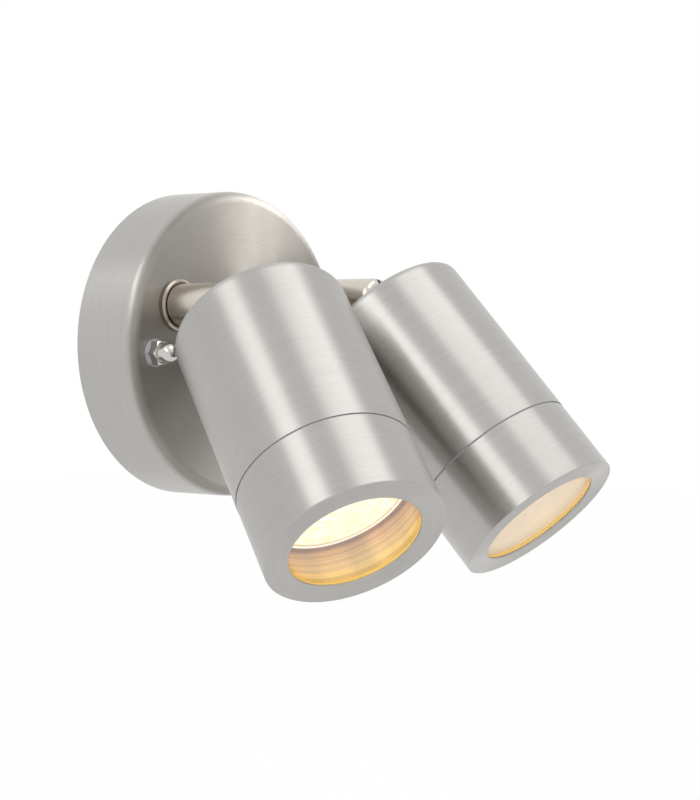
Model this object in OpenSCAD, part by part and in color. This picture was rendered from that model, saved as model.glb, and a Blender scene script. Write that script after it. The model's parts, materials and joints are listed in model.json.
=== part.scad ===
// Outdoor wall spotlight with two adjustable heads on one round back plate.
// Brushed stainless steel, for two reflector lamps of 50 mm with a twist base.
// Origin: centre of the back plate on the wall. Up is +Z and the arms point to -Y.

/* [Back plate] */
// Outer diameter of the round pressed back plate
plate_d = 110; // [104:1:124]
// How far the face of the back plate stands off the wall
plate_depth = 27; // [26:0.5:34]
// Sheet thickness of the back plate
plate_wall = 1.5; // [1:0.1:2]
// Radius pressed round the front edge of the back plate
plate_edge_r = 4; // [2.5:0.25:6]

/* [Wall bracket] */
// Room between the strap's ends and the foam strip
strap_room = 1.2; // [0.6:0.1:2]
// Width of the strap
strap_w = 20; // [18:0.5:22]
// Sheet thickness of the strap
strap_t = 2; // [1.5:0.25:3]
// Corner radius at the strap's ends
strap_corner_r = 5; // [3:0.5:8]
// Cable hole in the middle of the strap
cable_hole_d = 16; // [12:0.5:18]
// Diameter of the two round wall screw holes
wall_hole_d = 5.2; // [4:0.1:5.6]
// Distance between the two round wall screw holes
wall_hole_spacing = 50; // [48:0.5:52]
// Distance between the two slots for the wall screws
wall_slot_spacing = 70; // [68:0.5:72]
// Length of each slot
wall_slot_len = 10; // [8:0.5:12]
// From each threaded stud to the nearer end of the strap
stud_inset = 4.25; // [3.75:0.25:5]
// How far the stud line lies below the centre of the plate
stud_drop = 1; // [0:0.25:3]
// Diameter of the studs
stud_d = 5; // [4:0.25:5.5]
// Diameter of the foot that is welded to the strap
stud_foot_d = 8; // [7:0.5:9]
// Thickness of that foot
stud_foot_t = 1.2; // [0.8:0.1:2]
// Distance of the earth screw from the middle of the strap
earth_screw_x = 14.5; // [13.5:0.25:16]
// Diameter of the earth screw
earth_screw_d = 4; // [3:0.25:4.5]
// Head diameter of the earth screw
earth_head_d = 7.4; // [6.5:0.1:8]
// Head height of the earth screw
earth_head_h = 2.6; // [2:0.1:3.5]

/* [Dome nuts] */
// Width of the dome nut across its flats
nut_af = 8; // [7:0.1:9]
// Height of the hexagonal part
nut_hex_h = 4; // [3:0.1:5]
// Whole height of the dome nut
nut_h = 10; // [9:0.1:12]
// Diameter of the dome
nut_dome_d = 6.8; // [6.4:0.1:7.8]
// Depth of the blind thread in the nut
nut_thread_depth = 7.5; // [6:0.1:8]
// Outer diameter of the sealing washer under the nut
seal_washer_d = 10; // [9:0.1:11]
// Thickness of the sealing washer
seal_washer_t = 1; // [0.6:0.1:1.5]

/* [Wall seal] */
// Width of the foam strip behind the plate's rim
foam_w = 3; // [2:0.1:3.2]
// Depth of the foam strip
foam_t = 3; // [2:0.25:5]

/* [Terminal block] */
// Number of poles in the terminal block
poles = 3; // [2:1:4]
// Distance from one pole to the next
pole_pitch = 9; // [8:0.25:10]
// Length of the block along its wires
block_len = 17; // [15:0.5:19]
// Height of the block's base
block_h = 9; // [8:0.25:11]
// Height of the screw towers above the base
tower_h = 5; // [3:0.25:6]
// Outer diameter of each screw tower
tower_d = 6.4; // [5.8:0.1:7]
// Distance between the two screw towers of a pole
tower_spacing = 8.4; // [8:0.1:9]
// Outer diameter of each brass barrel
barrel_d = 5; // [4.6:0.1:5.4]
// Wire hole in each brass barrel
barrel_bore_d = 3; // [2.4:0.1:3.4]
// Diameter of the clamping screws
clamp_screw_d = 3; // [2.5:0.1:3.5]
// Length of the clamping screws
clamp_screw_len = 6; // [5:0.25:7]
// How far the middle of the block lies below the plate's centre
block_drop = 24; // [21:0.5:27]

/* [Arm bushes] */
// Outer diameter of the collar round each arm
collar_d = 18; // [17.5:0.25:20]
// How far the collar stands proud of the plate
collar_h = 2.2; // [1.6:0.1:3]
// Chamfer round the collar's front edge
collar_chamfer = 0.6; // [0.3:0.1:1]
// Outer diameter of the bush's barrel
bush_d = 15.5; // [15:0.25:16.5]
// Length of the barrel behind the collar
bush_len = 7; // [6:0.25:9]
// Floor left in the collar under the arm's end
pocket_floor = 0.7; // [0.5:0.1:1]
// Width across the flats of the nut that holds the bush
bush_nut_af = 22; // [21:0.25:24]
// Height of that nut
bush_nut_h = 3; // [2:0.25:4]

/* [Arms] */
// Distance between the axes of the two arms
arm_spacing = 64.5; // [64.5:0.5:70]
// Height of the arms above the centre of the plate
arm_rise = 15; // [13:0.5:17]
// Diameter of each arm
arm_d = 15; // [13.5:0.25:15.5]
// From the face of the back plate to the tilt pivot
arm_reach = 35; // [33:0.5:46]
// Diameter of the stem that turns in the bush
stem_d = 11; // [9:0.25:12]
// Length of the stem behind the arm's shoulder
stem_len = 14; // [13:0.25:18]
// Cable way bored through the arm
cable_way_d = 6; // [4:0.25:7]
// Outer diameter of the washer behind the bush
stem_washer_d = 18; // [16:0.25:20]
// Thickness of that washer
stem_washer_t = 1.2; // [0.8:0.1:2]
// Width across the flats of the nut on the stem
stem_nut_af = 17; // [16:0.25:19]
// Height of the nut on the stem
stem_nut_h = 5; // [4:0.25:6]

/* [Knuckles] */
// Space between the two half round tongues
lap_gap = 0.8; // [0.6:0.1:1.2]
// How far each tongue reaches past the pivot
tongue_reach = 4.2; // [3.6:0.1:5]
// Corner radius at the end of each tongue
tongue_corner_r = 2.5; // [2:0.1:3.5]
// From the pivot to the shoulder of the half lap on the arm
lap_back = 8.2; // [8.1:0.1:10]
// Diameter of the pivot screw
pivot_screw_d = 4; // [3:0.25:5]
// Head diameter of the pivot screw
pivot_head_d = 7; // [6.4:0.1:7.6]
// Head height of the pivot screw
pivot_head_h = 2.6; // [2:0.1:3]
// How far the head sits below the knuckle's outside
pivot_head_sunk = 0.5; // [0.3:0.1:1]
// Width across the flats of the key hole in the pivot screw
pivot_key_af = 2.5; // [2:0.25:3]
// Wall left at the blind end of the pivot thread
pivot_end_wall = 1.6; // [1:0.1:2.5]
// Outer diameter of the friction washer
friction_washer_d = 11; // [9:0.25:12]
// Diameter of the hollow threaded nipple that holds the head
nipple_d = 10; // [8.5:0.25:11]
// Cable way through the nipple
nipple_bore_d = 6; // [4:0.25:6.5]
// Width across the flats of the nut inside the head
nipple_nut_af = 14; // [13.5:0.25:16]
// Height of the nut inside the head
nipple_nut_h = 3.6; // [3:0.1:4]

/* [Heads] */
// Outer diameter of each head
head_d = 60.5; // [60:0.5:63]
// Length of the drawn can, from its back to the seam
can_len = 67.5; // [66:0.5:74]
// From the tilt pivot to the back of the can
head_standoff = 8.2; // [8.1:0.1:12]
// Wall of the drawn can
can_wall = 1.5; // [1.2:0.1:1.7]
// Thickness of the can's closed back
can_back = 2; // [1.6:0.1:2.6]
// Radius round the can's back edge
can_edge_r = 3.5; // [3:0.25:5]

/* [Threaded sleeve] */
// Wall of the sleeve at its front
sleeve_wall = 1.1; // [0.9:0.05:1.2]
// How much the thread stands out from the front of the sleeve
thread_h = 0.8; // [0.6:0.05:0.9]
// Length of the sleeve inside the can
sleeve_hold_len = 15; // [12:0.5:18]
// Length of the threaded part in front of the seam
thread_len = 10; // [8.5:0.25:11]
// Thickness of the rib inside the sleeve that closes in on the lamp's rim
rib_t = 0.8; // [0.6:0.1:1.2]

/* [Front ring] */
// Whole length from the seam to the front of the head
ring_len = 27.5; // [26:0.25:31]
// How much smaller the ring is than the can, all round
ring_step = 0.1; // [0.1:0.05:0.4]
// Wall of the ring over the thread
ring_wall = 1.3; // [1.1:0.05:1.4]
// Diameter of the light opening
opening_d = 44; // [40:0.5:46]
// Thickness of the front lip
lip_t = 1; // [0.8:0.1:2]
// Chamfer broken on both edges of the lip's front face
lip_chamfer = 0.3; // [0.1:0.05:0.35]
// Thickness of the flat seal in the seam
seam_seal_t = 0.5; // [0.4:0.05:0.8]

/* [Glass] */
// Thickness of the flat front glass
glass_t = 3; // [2.5:0.1:4]
// Thickness of the gasket's lips on both faces of the glass
gasket_lip_t = 0.8; // [0.6:0.05:1]
// How far those lips reach over the glass
gasket_lip_w = 1.6; // [1:0.1:2.2]
// Thickness of the gasket round the edge of the glass
gasket_edge_t = 1.2; // [0.8:0.1:1.5]

/* [Lamp] */
// Room all round the lamp's rim inside the sleeve
lamp_room = 1.65; // [1.4:0.05:2.6]
// Length of the lamp from its rim to the bottom of its base
lamp_len = 47; // [44:0.5:49]
// Height of the lamp's straight rim
lamp_rim_h = 4; // [3:0.25:5]
// Wall of the lamp's rim round the lens
lamp_rim_wall = 0.9; // [0.7:0.1:1.6]
// Thickness of the lamp's lens at its middle
lens_t = 2.6; // [2:0.1:3.5]
// Thickness of the lamp's lens at its edge
lens_edge_t = 1.4; // [1:0.1:1.8]
// Diameter of the lamp's neck
lamp_neck_d = 27; // [25:0.5:30]
// Length of the insulating base
lamp_base_len = 15; // [12:0.5:18]
// Width of the base across its flats
lamp_base_w = 18; // [17:0.5:22]
// Distance between the two contact pins
pin_spacing = 10; // [9:0.25:11]
// Diameter of a pin's neck
pin_neck_d = 3.2; // [2.5:0.1:3.4]
// Diameter of a pin's head
pin_head_d = 4.8; // [4.4:0.1:5.2]
// Length of a pin's neck
pin_neck_len = 3.6; // [3.3:0.1:4]
// Length of a pin's head
pin_head_len = 3.4; // [3:0.1:4]

/* [Lamp holder] */
// Diameter of the ceramic lamp holder
holder_d = 28; // [26:0.5:31]
// Length of the lamp holder along the head
holder_len = 20; // [18.5:0.25:21]
// Thickness of the holder's front, which locks the pins
holder_front_t = 2.6; // [2.2:0.1:2.8]
// Angle that the lamp turns to lock
lock_angle = 20; // [12:1:28]
// Distance between the two screws through the holder
holder_screw_spacing = 19; // [18.5:0.25:20]
// Diameter of the screws at the holder
holder_screw_d = 3; // [2.5:0.1:3.2]
// Head diameter of those screws
holder_head_d = 5.4; // [5:0.1:5.8]
// Head height of those screws
holder_head_h = 2.2; // [1.6:0.1:2.6]
// Height of the bent bracket that carries the holder
hat_h = 6; // [5.4:0.1:7]
// Sheet thickness of the bracket
hat_t = 1.2; // [1:0.1:1.4]
// Width of the bracket's two feet
hat_foot_w = 10; // [8:0.5:12]
// Room between the ends of the feet and the can's wall
hat_room = 3.75; // [3:0.25:5]

/* [Rest pose] */
// Swivel of the near head from straight down, towards +X
near_swivel = -21; // [-180:1:0]
// Tilt of the near head from straight out
near_tilt = 50; // [0:1:65]
// Swivel of the far head from straight down, towards +X
far_swivel = 3; // [0:1:180]
// Tilt of the far head from straight out
far_tilt = 48; // [0:1:65]

/* [Fits] */
// Gap all round a part that turns in its bearing
turn_gap = 0.1; // [0.05:0.01:0.12]
// Gap all round a part that passes a hole with room to spare
pass_gap = 0.3; // [0.25:0.05:0.4]
// Gap between faces that are stacked or screwed together
stack_gap = 0.05; // [0.02:0.01:0.08]
// Dark gap that shows round each arm in its collar
arm_gap = 0.4; // [0.3:0.05:0.5]

/* [Hidden] */
$fn = 96;
// Overrun of every cut past the face that it opens
cut = 1;
hex = 6;
// Side of a hexagon's corners, from its flats
hex_share = 1 / cos(30);

arm_x = arm_spacing / 2;
pivot_out = plate_depth + arm_reach;
arm_r = arm_d / 2;
foam_r = plate_d / 2 - plate_wall - pass_gap;
strap_end = foam_r - foam_w - strap_room;
stud_x = strap_end - stud_inset;
stud_hole_d = stud_d + 2 * pass_gap;
collar_front = plate_depth + collar_h;
bush_back = plate_depth - bush_len;
arm_foot = plate_depth + pocket_floor + turn_gap;
stem_back = arm_foot - stem_len;
plate_inside = plate_depth - plate_wall;
key_depth = pivot_head_h * 0.6;

head_r = head_d / 2;
can_bore_r = head_r - can_wall;
ring_r = head_r - ring_step;
ring_bore_r = ring_r - ring_wall;
thread_r = ring_bore_r - pass_gap;
sleeve_r = thread_r - thread_h;
sleeve_bore_r = sleeve_r - sleeve_wall;
ring_front_bore_r = sleeve_r + pass_gap;
head_len = can_len + ring_len;
ring_back = can_len + seam_seal_t + turn_gap;
lip_back = head_len - lip_t;
gasket_r = ring_front_bore_r - turn_gap;
glass_r = gasket_r - gasket_edge_t;
gasket_t = glass_t + 2 * gasket_lip_t + 2 * stack_gap;
gasket_back = lip_back - stack_gap - gasket_t;
sleeve_front = gasket_back - turn_gap;

hat_top = can_back + hat_h;
hat_end = can_bore_r - hat_room;
holder_front_at = hat_top + holder_len;
lamp_back_at = holder_front_at + pass_gap;
lamp_rim_at = lamp_back_at + lamp_len;
lamp_r = sleeve_bore_r - lamp_room;
holder_chamber_at = lamp_back_at - pin_neck_len - pin_head_len - pass_gap;
lens_pocket = lens_edge_t + stack_gap;

// Frames. In a wall frame and an arm frame Z points out from the wall.

module wall_frame() {
    rotate([90, 0, 0]) children();
}

module near_arm_frame() {
    wall_frame() translate([-arm_x, arm_rise, pivot_out]) rotate([0, 0, near_swivel]) children();
}

module far_arm_frame() {
    wall_frame() translate([arm_x, arm_rise, pivot_out]) rotate([0, 0, far_swivel]) children();
}

// In a head frame Z runs along the head, from the back of its can to its front.
module near_head_frame() {
    near_arm_frame() rotate([near_tilt, 0, 0]) translate([0, 0, head_standoff]) children();
}

module far_head_frame() {
    far_arm_frame() rotate([far_tilt, 0, 0]) translate([0, 0, head_standoff]) children();
}

// Shapes that several parts use.

module disc(r, from, to) {
    translate([0, 0, from]) cylinder(r = r, h = to - from);
}

module ring(outer_r, inner_r, from, to) {
    difference() {
        disc(outer_r, from, to);
        disc(inner_r, from - cut, to + cut);
    }
}

module hex_bar(af, from, to) {
    translate([0, 0, from]) cylinder(d = af * hex_share, h = to - from, $fn = hex);
}

// A hexagonal nut with both ends turned off to a chamfer.
module hex_nut(af, bore_r, from, to) {
    chamfer = min(af * (hex_share - 1) / 2, (to - from) / 3);
    difference() {
        intersection() {
            hex_bar(af, from, to);
            rotate_extrude() polygon([
                [0, from],
                [af / 2, from],
                [af * hex_share / 2, from + chamfer],
                [af * hex_share / 2, to - chamfer],
                [af / 2, to],
                [0, to]
            ]);
        }
        disc(bore_r, from - cut, to + cut);
    }
}

// A pan head screw with a cross slot, its head above the height named at.
module pan_screw(d, head_d, head_h, at, tip) {
    slot_w = d / 5;
    difference() {
        union() {
            disc(head_d / 2, at, at + head_h);
            disc(d / 2, tip, at + head_h / 2);
        }
        for (a = [0, 90]) {
            rotate([0, 0, a]) translate([-head_d / 3, -slot_w / 2, at + head_h / 2]) {
                cube([head_d / 1.5, slot_w, head_h]);
            }
        }
    }
}

// Half outline of a can with a rounded edge at the height named top.
module can_outline(r, top, edge) {
    square([r - edge, top]);
    square([r, top - edge]);
    translate([r - edge, top - edge]) circle(r = edge);
}

// Parts on the wall.

module canopy_shape() {
    difference() {
        rotate_extrude() difference() {
            can_outline(plate_d / 2, plate_depth, plate_edge_r);
            translate([0, -cut]) {
                can_outline(plate_d / 2 - plate_wall, plate_inside + cut, plate_edge_r - plate_wall);
            }
        }
        for (side = [-1, 1]) {
            translate([side * arm_x, arm_rise, 0]) {
                disc(bush_d / 2 + stack_gap, plate_inside - cut, plate_depth + cut);
            }
            translate([side * stud_x, -stud_drop, 0]) {
                disc(stud_hole_d / 2, plate_inside - cut, plate_depth + cut);
            }
        }
    }
}

module strap_outline() {
    x = strap_end - strap_corner_r;
    y = strap_w / 2 - strap_corner_r;
    square([2 * strap_end, 2 * y], center = true);
    square([2 * x, strap_w], center = true);
    for (sx = [-1, 1], sy = [-1, 1]) {
        translate([sx * x, sy * y]) circle(r = strap_corner_r);
    }
}

module strap_slot() {
    end = (wall_slot_len - wall_hole_d) / 2;
    square([2 * end, wall_hole_d], center = true);
    for (side = [-1, 1]) {
        translate([side * end, 0]) circle(d = wall_hole_d);
    }
}

module wall_bracket_shape() {
    translate([0, -stud_drop, 0]) difference() {
        linear_extrude(strap_t) strap_outline();
        translate([0, stud_drop, 0]) disc(cable_hole_d / 2, -cut, strap_t + cut);
        for (side = [-1, 1]) {
            translate([side * wall_hole_spacing / 2, 0, 0]) disc(wall_hole_d / 2, -cut, strap_t + cut);
            translate([side * wall_slot_spacing / 2, 0, -cut]) {
                linear_extrude(strap_t + 2 * cut) strap_slot();
            }
        }
        translate([earth_screw_x, 0, 0]) disc(earth_screw_d / 2 + stack_gap, -cut, strap_t + cut);
    }
}

module at_studs() {
    for (side = [-1, 1]) {
        translate([side * stud_x, -stud_drop, 0]) children();
    }
}

module bracket_studs_shape() {
    stud_end = plate_depth + seal_washer_t + nut_thread_depth - pass_gap;
    at_studs() union() {
        disc(stud_foot_d / 2, strap_t, strap_t + stud_foot_t);
        disc(stud_d / 2, strap_t, stud_end);
    }
}

module dome_nuts_shape() {
    seat = plate_depth + seal_washer_t + stack_gap;
    dome_r = nut_dome_d / 2;
    chamfer = nut_af * (hex_share - 1) / 2;
    at_studs() difference() {
        union() {
            intersection() {
                hex_bar(nut_af, seat, seat + nut_hex_h);
                rotate_extrude() polygon([
                    [0, seat],
                    [nut_af * hex_share / 2, seat],
                    [nut_af * hex_share / 2, seat + nut_hex_h - chamfer],
                    [nut_af / 2, seat + nut_hex_h],
                    [0, seat + nut_hex_h]
                ]);
            }
            disc(dome_r, seat, seat + nut_h - dome_r);
            translate([0, 0, seat + nut_h - dome_r]) sphere(r = dome_r);
        }
        disc(stud_d / 2 + stack_gap, seat - cut, seat + nut_thread_depth);
    }
}

module sealing_washers_shape() {
    at_studs() ring(seal_washer_d / 2, stud_d / 2 + stack_gap, plate_depth, plate_depth + seal_washer_t);
}

module wall_seal_shape() {
    ring(foam_r, foam_r - foam_w, 0, foam_t);
}

// The block stands on the inside of the plate, its screws towards the wall.
module terminal_frame() {
    translate([0, -block_drop, plate_inside]) rotate([0, 180, 0]) children();
}

module at_poles() {
    for (i = [0 : poles - 1]) {
        translate([(i - (poles - 1) / 2) * pole_pitch, 0, 0]) children();
    }
}

module at_towers() {
    for (side = [-1, 1]) {
        translate([0, side * tower_spacing / 2, 0]) children();
    }
}

module terminal_block_shape() {
    web_h = block_h / 2;
    terminal_frame() difference() {
        union() {
            translate([-(poles - 1) * pole_pitch / 2, -tower_d / 2, 0]) {
                cube([(poles - 1) * pole_pitch, tower_d, web_h]);
            }
            at_poles() {
                translate([-tower_d / 2, -block_len / 2, 0]) cube([tower_d, block_len, block_h]);
                at_towers() disc(tower_d / 2, block_h / 2, block_h + tower_h);
            }
        }
        at_poles() {
            translate([0, 0, web_h]) rotate([90, 0, 0]) {
                disc(barrel_d / 2 + stack_gap, -block_len / 2 - cut, block_len / 2 + cut);
            }
            at_towers() disc(clamp_screw_d / 2 + pass_gap, web_h, block_h + tower_h + cut);
        }
    }
}

module terminal_barrels_shape() {
    barrel_len = block_len - 2 * barrel_d / 3;
    terminal_frame() at_poles() difference() {
        translate([0, 0, block_h / 2]) rotate([90, 0, 0]) {
            ring(barrel_d / 2, barrel_bore_d / 2, -barrel_len / 2, barrel_len / 2);
        }
        at_towers() disc(clamp_screw_d / 2 + stack_gap, block_h / 2, block_h + tower_h);
    }
}

module terminal_screws_shape() {
    tip = block_h / 2 + barrel_bore_d / 4;
    terminal_frame() at_poles() at_towers() difference() {
        disc(clamp_screw_d / 2, tip, tip + clamp_screw_len);
        translate([-clamp_screw_d, -clamp_screw_d / 8, tip + clamp_screw_len * 5 / 6]) {
            cube([2 * clamp_screw_d, clamp_screw_d / 4, clamp_screw_len]);
        }
    }
}

module earth_screw_shape() {
    translate([earth_screw_x, -stud_drop, 0]) {
        pan_screw(earth_screw_d, earth_head_d, earth_head_h, strap_t, strap_t / 4);
    }
}

// Collar and barrel of a bush, with the pocket that takes the foot of the arm.
module arm_bushes_shape() {
    r = collar_d / 2;
    for (side = [-1, 1]) {
        translate([side * arm_x, arm_rise, 0]) difference() {
            union() {
                rotate_extrude() polygon([
                    [0, plate_depth],
                    [r, plate_depth],
                    [r, collar_front - collar_chamfer],
                    [r - collar_chamfer, collar_front],
                    [0, collar_front]
                ]);
                disc(bush_d / 2, bush_back, plate_depth + collar_h / 2);
            }
            disc(arm_r + arm_gap, plate_depth + pocket_floor, collar_front + cut);
            disc(stem_d / 2 + turn_gap, bush_back - cut, collar_front);
        }
    }
}

module bush_nuts_shape() {
    for (side = [-1, 1]) {
        translate([side * arm_x, arm_rise, 0]) {
            hex_nut(bush_nut_af, bush_d / 2 + stack_gap, plate_inside - bush_nut_h, plate_inside);
        }
    }
}

// Parts of an arm. The arm frame's Z is zero at the pivot.

// A half round bar on one side of the lap, from its rounded end back to the length named back.
module half_tongue(side, back) {
    intersection() {
        translate([0, 0, -back]) rotate_extrude() can_outline(arm_r, back + tongue_reach, tongue_corner_r);
        translate([side < 0 ? -arm_d : lap_gap / 2, -arm_d, -2 * back]) {
            cube([arm_d - lap_gap / 2 * (side < 0 ? 1 : 0), 2 * arm_d, 4 * back]);
        }
    }
}

module arm_shape() {
    foot = arm_foot - pivot_out;
    difference() {
        union() {
            disc(arm_r, foot, -lap_back);
            half_tongue(-1, lap_back + cut);
            disc(stem_d / 2, stem_back - pivot_out, foot + cut);
        }
        disc(cable_way_d / 2, stem_back - pivot_out - cut, -lap_back - arm_r);
        translate([arm_r / 2 - lap_gap, 0, 0]) {
            disc(cable_way_d / 3, -lap_back - arm_r - cable_way_d, -lap_back + cut);
        }
        rotate([0, 90, 0]) {
            disc(pivot_screw_d / 2 + stack_gap, -arm_r + pivot_end_wall, arm_r);
        }
    }
}

module stem_washer_shape() {
    at = bush_back - pivot_out - stack_gap;
    ring(stem_washer_d / 2, stem_d / 2 + stack_gap, at - stem_washer_t, at);
}

module stem_nut_shape() {
    at = bush_back - pivot_out - 2 * stack_gap - stem_washer_t;
    hex_nut(stem_nut_af, stem_d / 2 + stack_gap, at - stem_nut_h, at);
}

// Socket head screw, from the head's side of the knuckle into the arm's tongue.
module pivot_screw_shape() {
    top = arm_r - pivot_head_sunk;
    tip = -arm_r + pivot_end_wall + pass_gap;
    rotate([0, 90, 0]) difference() {
        union() {
            disc(pivot_head_d / 2, top - pivot_head_h, top);
            disc(pivot_screw_d / 2, tip, top - pivot_head_h / 2);
        }
        hex_bar(pivot_key_af, top - key_depth, top + cut);
    }
}

module friction_washer_shape() {
    half = lap_gap / 2 - stack_gap;
    rotate([0, 90, 0]) ring(friction_washer_d / 2, pivot_screw_d / 2 + turn_gap, -half, half);
}

// Parts of a head. The head frame's Z is zero at the back of the can.

module head_can_shape() {
    difference() {
        translate([0, 0, can_len]) mirror([0, 0, 1]) rotate_extrude() difference() {
            can_outline(head_r, can_len, can_edge_r);
            translate([0, -cut]) {
                can_outline(can_bore_r, can_len - can_back + cut, can_edge_r - can_wall);
            }
        }
        disc(nipple_d / 2 + stack_gap, -cut, can_back + cut);
        at_feet() disc(holder_screw_d / 2 + stack_gap, can_back / 4, can_back + cut);
    }
}

// The head's half of the knuckle, with the hollow nipple that goes through the can's back.
module knuckle_shape() {
    head_seat = arm_r - pivot_head_sunk - pivot_head_h - stack_gap;
    difference() {
        union() {
            translate([0, 0, -head_standoff]) mirror([0, 0, 1]) half_tongue(1, head_standoff);
            disc(nipple_d / 2, -stack_gap, can_back + nipple_nut_h + stack_gap);
        }
        translate([-nipple_d, -nipple_d, -head_standoff]) {
            cube([nipple_d + lap_gap / 2, 2 * nipple_d, head_standoff]);
        }
        disc(nipple_bore_d / 2, -cut, can_back + nipple_nut_h + cut);
        translate([0, 0, -head_standoff]) rotate([0, 90, 0]) {
            disc(pivot_screw_d / 2 + turn_gap, -cut, arm_r + cut);
            disc(pivot_head_d / 2 + pass_gap, head_seat, arm_r + cut);
        }
    }
}

module knuckle_nut_shape() {
    hex_nut(nipple_nut_af, nipple_d / 2 + stack_gap, can_back, can_back + nipple_nut_h);
}

// Sleeve inside the can, with the thread for the ring in front of the seam.
module threaded_sleeve_shape() {
    hold_r = can_bore_r - stack_gap;
    hold_back = can_len - sleeve_hold_len;
    thread_front = ring_back + thread_len;
    rib_r = lamp_r + pass_gap;
    rotate_extrude() polygon([
        [sleeve_bore_r, hold_back],
        [hold_r, hold_back],
        [hold_r, can_len],
        [thread_r, can_len],
        [thread_r, thread_front - thread_h],
        [sleeve_r, thread_front],
        [sleeve_r, sleeve_front],
        [sleeve_bore_r, sleeve_front],
        [sleeve_bore_r, lamp_rim_at],
        [rib_r, lamp_rim_at],
        [rib_r, lamp_rim_at - rib_t],
        [sleeve_bore_r, lamp_rim_at - rib_t]
    ]);
}

module seam_seal_shape() {
    ring(ring_r - ring_wall / 4, thread_r + stack_gap, can_len, can_len + seam_seal_t);
}

module front_ring_shape() {
    step_at = ring_back + thread_len + pass_gap;
    rotate_extrude() polygon([
        [ring_bore_r, ring_back],
        [ring_r, ring_back],
        [ring_r, head_len - lip_chamfer],
        [ring_r - lip_chamfer, head_len],
        [opening_d / 2 + lip_chamfer, head_len],
        [opening_d / 2, head_len - lip_chamfer],
        [opening_d / 2, lip_back],
        [ring_front_bore_r, lip_back],
        [ring_front_bore_r, step_at],
        [ring_bore_r, step_at]
    ]);
}

module glass_shape() {
    from = gasket_back + gasket_lip_t + stack_gap;
    edge = glass_t / 8;
    rotate_extrude() polygon([
        [0, from],
        [glass_r - edge, from],
        [glass_r, from + edge],
        [glass_r, from + glass_t - edge],
        [glass_r - edge, from + glass_t],
        [0, from + glass_t]
    ]);
}

module glass_gasket_shape() {
    inner_r = glass_r - gasket_lip_w;
    difference() {
        ring(gasket_r, inner_r, gasket_back, gasket_back + gasket_t);
        disc(glass_r + stack_gap, gasket_back + gasket_lip_t, gasket_back + gasket_t - gasket_lip_t);
    }
}

// The lamp turns in its holder, so its pins lie in curved slots there.
module lamp_body_shape() {
    shoulder_r = lamp_r - lamp_rim_wall;
    neck_at = lamp_back_at + lamp_base_len;
    difference() {
        rotate_extrude() polygon([
            [0, neck_at],
            [lamp_neck_d / 2, neck_at],
            [lamp_neck_d / 2, neck_at + lamp_rim_h],
            for (i = [0 : 6])
                let (t = i / 6)
                [
                    lamp_neck_d / 2 + (shoulder_r - lamp_neck_d / 2) * sin(90 * t),
                    neck_at + lamp_rim_h
                        + (lamp_rim_at - neck_at - 3 * lamp_rim_h) * (1 - cos(90 * t)) + lamp_rim_h * t / 2
                ],
            [lamp_r, lamp_rim_at - lamp_rim_h],
            [lamp_r, lamp_rim_at],
            [0, lamp_rim_at]
        ]);
        disc(shoulder_r, lamp_rim_at - lens_pocket, lamp_rim_at + cut);
    }
}

module lamp_lens_shape() {
    r = lamp_r - lamp_rim_wall - stack_gap;
    from = lamp_rim_at - lens_edge_t;
    crown = lens_t - lens_edge_t;
    ball_r = (r * r + crown * crown) / (2 * crown);
    rotate_extrude() intersection() {
        translate([0, from]) square([r, lens_t]);
        translate([0, from + lens_t - ball_r]) circle(r = ball_r, $fn = 360);
    }
}

module lamp_base_shape() {
    top = lamp_back_at + lamp_base_len;
    union() {
        intersection() {
            disc(lamp_neck_d / 2, lamp_back_at, top);
            translate([-lamp_neck_d, -lamp_base_w / 2, lamp_back_at]) {
                cube([2 * lamp_neck_d, lamp_base_w, lamp_base_len]);
            }
        }
        for (side = [-1, 1]) {
            translate([side * pin_spacing / 2, 0, lamp_back_at - pin_neck_len]) {
                disc(pin_neck_d / 2, 0, pin_neck_len + lamp_rim_wall);
                disc(pin_head_d / 2, -pin_head_len, 0);
            }
        }
    }
}

// Outline of a slot with round ends that follows a pin as the lamp turns.
module pin_slot_outline(width) {
    r = pin_spacing / 2;
    half = width / 2;
    steps = 6;
    polygon([
        for (i = [0 : steps])
            let (a = lock_angle * i / steps) (r + half) * [cos(a), sin(a)],
        for (i = [1 : steps - 1])
            let (a = lock_angle + 180 * i / steps)
                r * [cos(lock_angle), sin(lock_angle)] + half * [cos(a), sin(a)],
        for (i = [0 : steps])
            let (a = lock_angle * (1 - i / steps)) (r - half) * [cos(a), sin(a)],
        for (i = [1 : steps - 1])
            let (a = 180 + 180 * i / steps) [r, 0] + half * [cos(a), sin(a)]
    ]);
}

module pin_slots(width, from, to) {
    for (start = [0, 180]) {
        rotate([0, 0, start]) translate([0, 0, from]) linear_extrude(to - from) pin_slot_outline(width);
    }
}

module lampholder_shape() {
    neck_from = holder_front_at - holder_front_t;
    difference() {
        disc(holder_d / 2, hat_top, holder_front_at);
        pin_slots(pin_neck_d + 2 * pass_gap, neck_from - cut, holder_front_at + cut);
        pin_slots(pin_head_d + 2 * pass_gap, holder_chamber_at, neck_from);
        for (start = [0, 180]) {
            rotate([0, 0, start + lock_angle]) translate([pin_spacing / 2, 0, 0]) {
                disc(pin_head_d / 2 + 2 * pass_gap, neck_from - cut, holder_front_at + cut);
            }
        }
        at_holder_screws() {
            disc(holder_screw_d / 2 + stack_gap, hat_top - cut, holder_front_at + cut);
            disc(holder_head_d / 2 + pass_gap, holder_front_at - 2 * holder_head_h, holder_front_at + cut);
        }
    }
}

module at_holder_screws() {
    for (side = [-1, 1]) {
        translate([0, side * holder_screw_spacing / 2, 0]) children();
    }
}

module at_feet() {
    foot_x = hat_end - (2 * hat_end - holder_d - 2 * hat_t) / 6;
    for (side = [-1, 1]) {
        translate([side * foot_x, 0, 0]) children();
    }
}

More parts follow.
